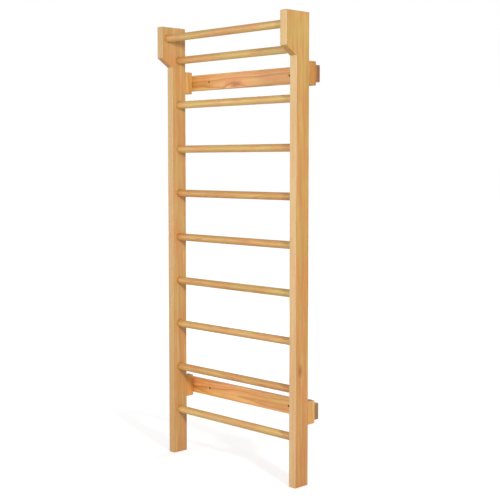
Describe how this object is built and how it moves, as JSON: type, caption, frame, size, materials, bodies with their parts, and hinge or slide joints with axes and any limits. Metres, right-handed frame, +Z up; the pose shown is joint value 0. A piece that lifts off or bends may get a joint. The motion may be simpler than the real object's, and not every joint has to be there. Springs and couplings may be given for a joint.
{
  "type": "wall bars",
  "caption": "Wooden wall bars: two posts with round rungs, a top bar set forward in head blocks, and two rear rails that screw to a wall.",
  "frame": {"origin": "on the floor, in the middle of the width and of the depth of the whole part", "axes": "+Z up along the posts, +Y towards the wall, +X to the right of a user who faces the wall"},
  "size_m": [0.8, 0.2, 1.945],
  "materials": {
    "post_pine": "warm golden pine under satin clear lacquer, grain along the post",
    "rung_wood": "turned round, sanded, satin clear lacquer, grain along the rung",
    "rail_pine": "slightly redder pine board with broad flame grain, satin clear lacquer",
    "dowel_beech": "plain beech, unfinished",
    "screw_steel": "pale yellow zinc"
  },
  "bodies": {
    "root": {"left_post": "post_pine", "left_head_block": "post_pine", "right_post": "post_pine", "right_head_block": "post_pine", "rung_1": "rung_wood", "rung_2": "rung_wood", "rung_3": "rung_wood", "rung_4": "rung_wood", "rung_5": "rung_wood", "rung_6": "rung_wood", "rung_7": "rung_wood", "rung_8": "rung_wood", "rung_9": "rung_wood", "top_bar": "rung_wood", "upper_wall_rail": "rail_pine", "upper_left_spacer": "rail_pine", "upper_right_spacer": "rail_pine", "lower_wall_rail": "rail_pine", "lower_left_spacer": "rail_pine", "lower_right_spacer": "rail_pine", "head_dowels": "dowel_beech", "rung_lock_screws": "screw_steel", "head_screws": "screw_steel", "upper_rail_screws": "screw_steel", "lower_rail_screws": "screw_steel"}
  },
  "joints": []
}
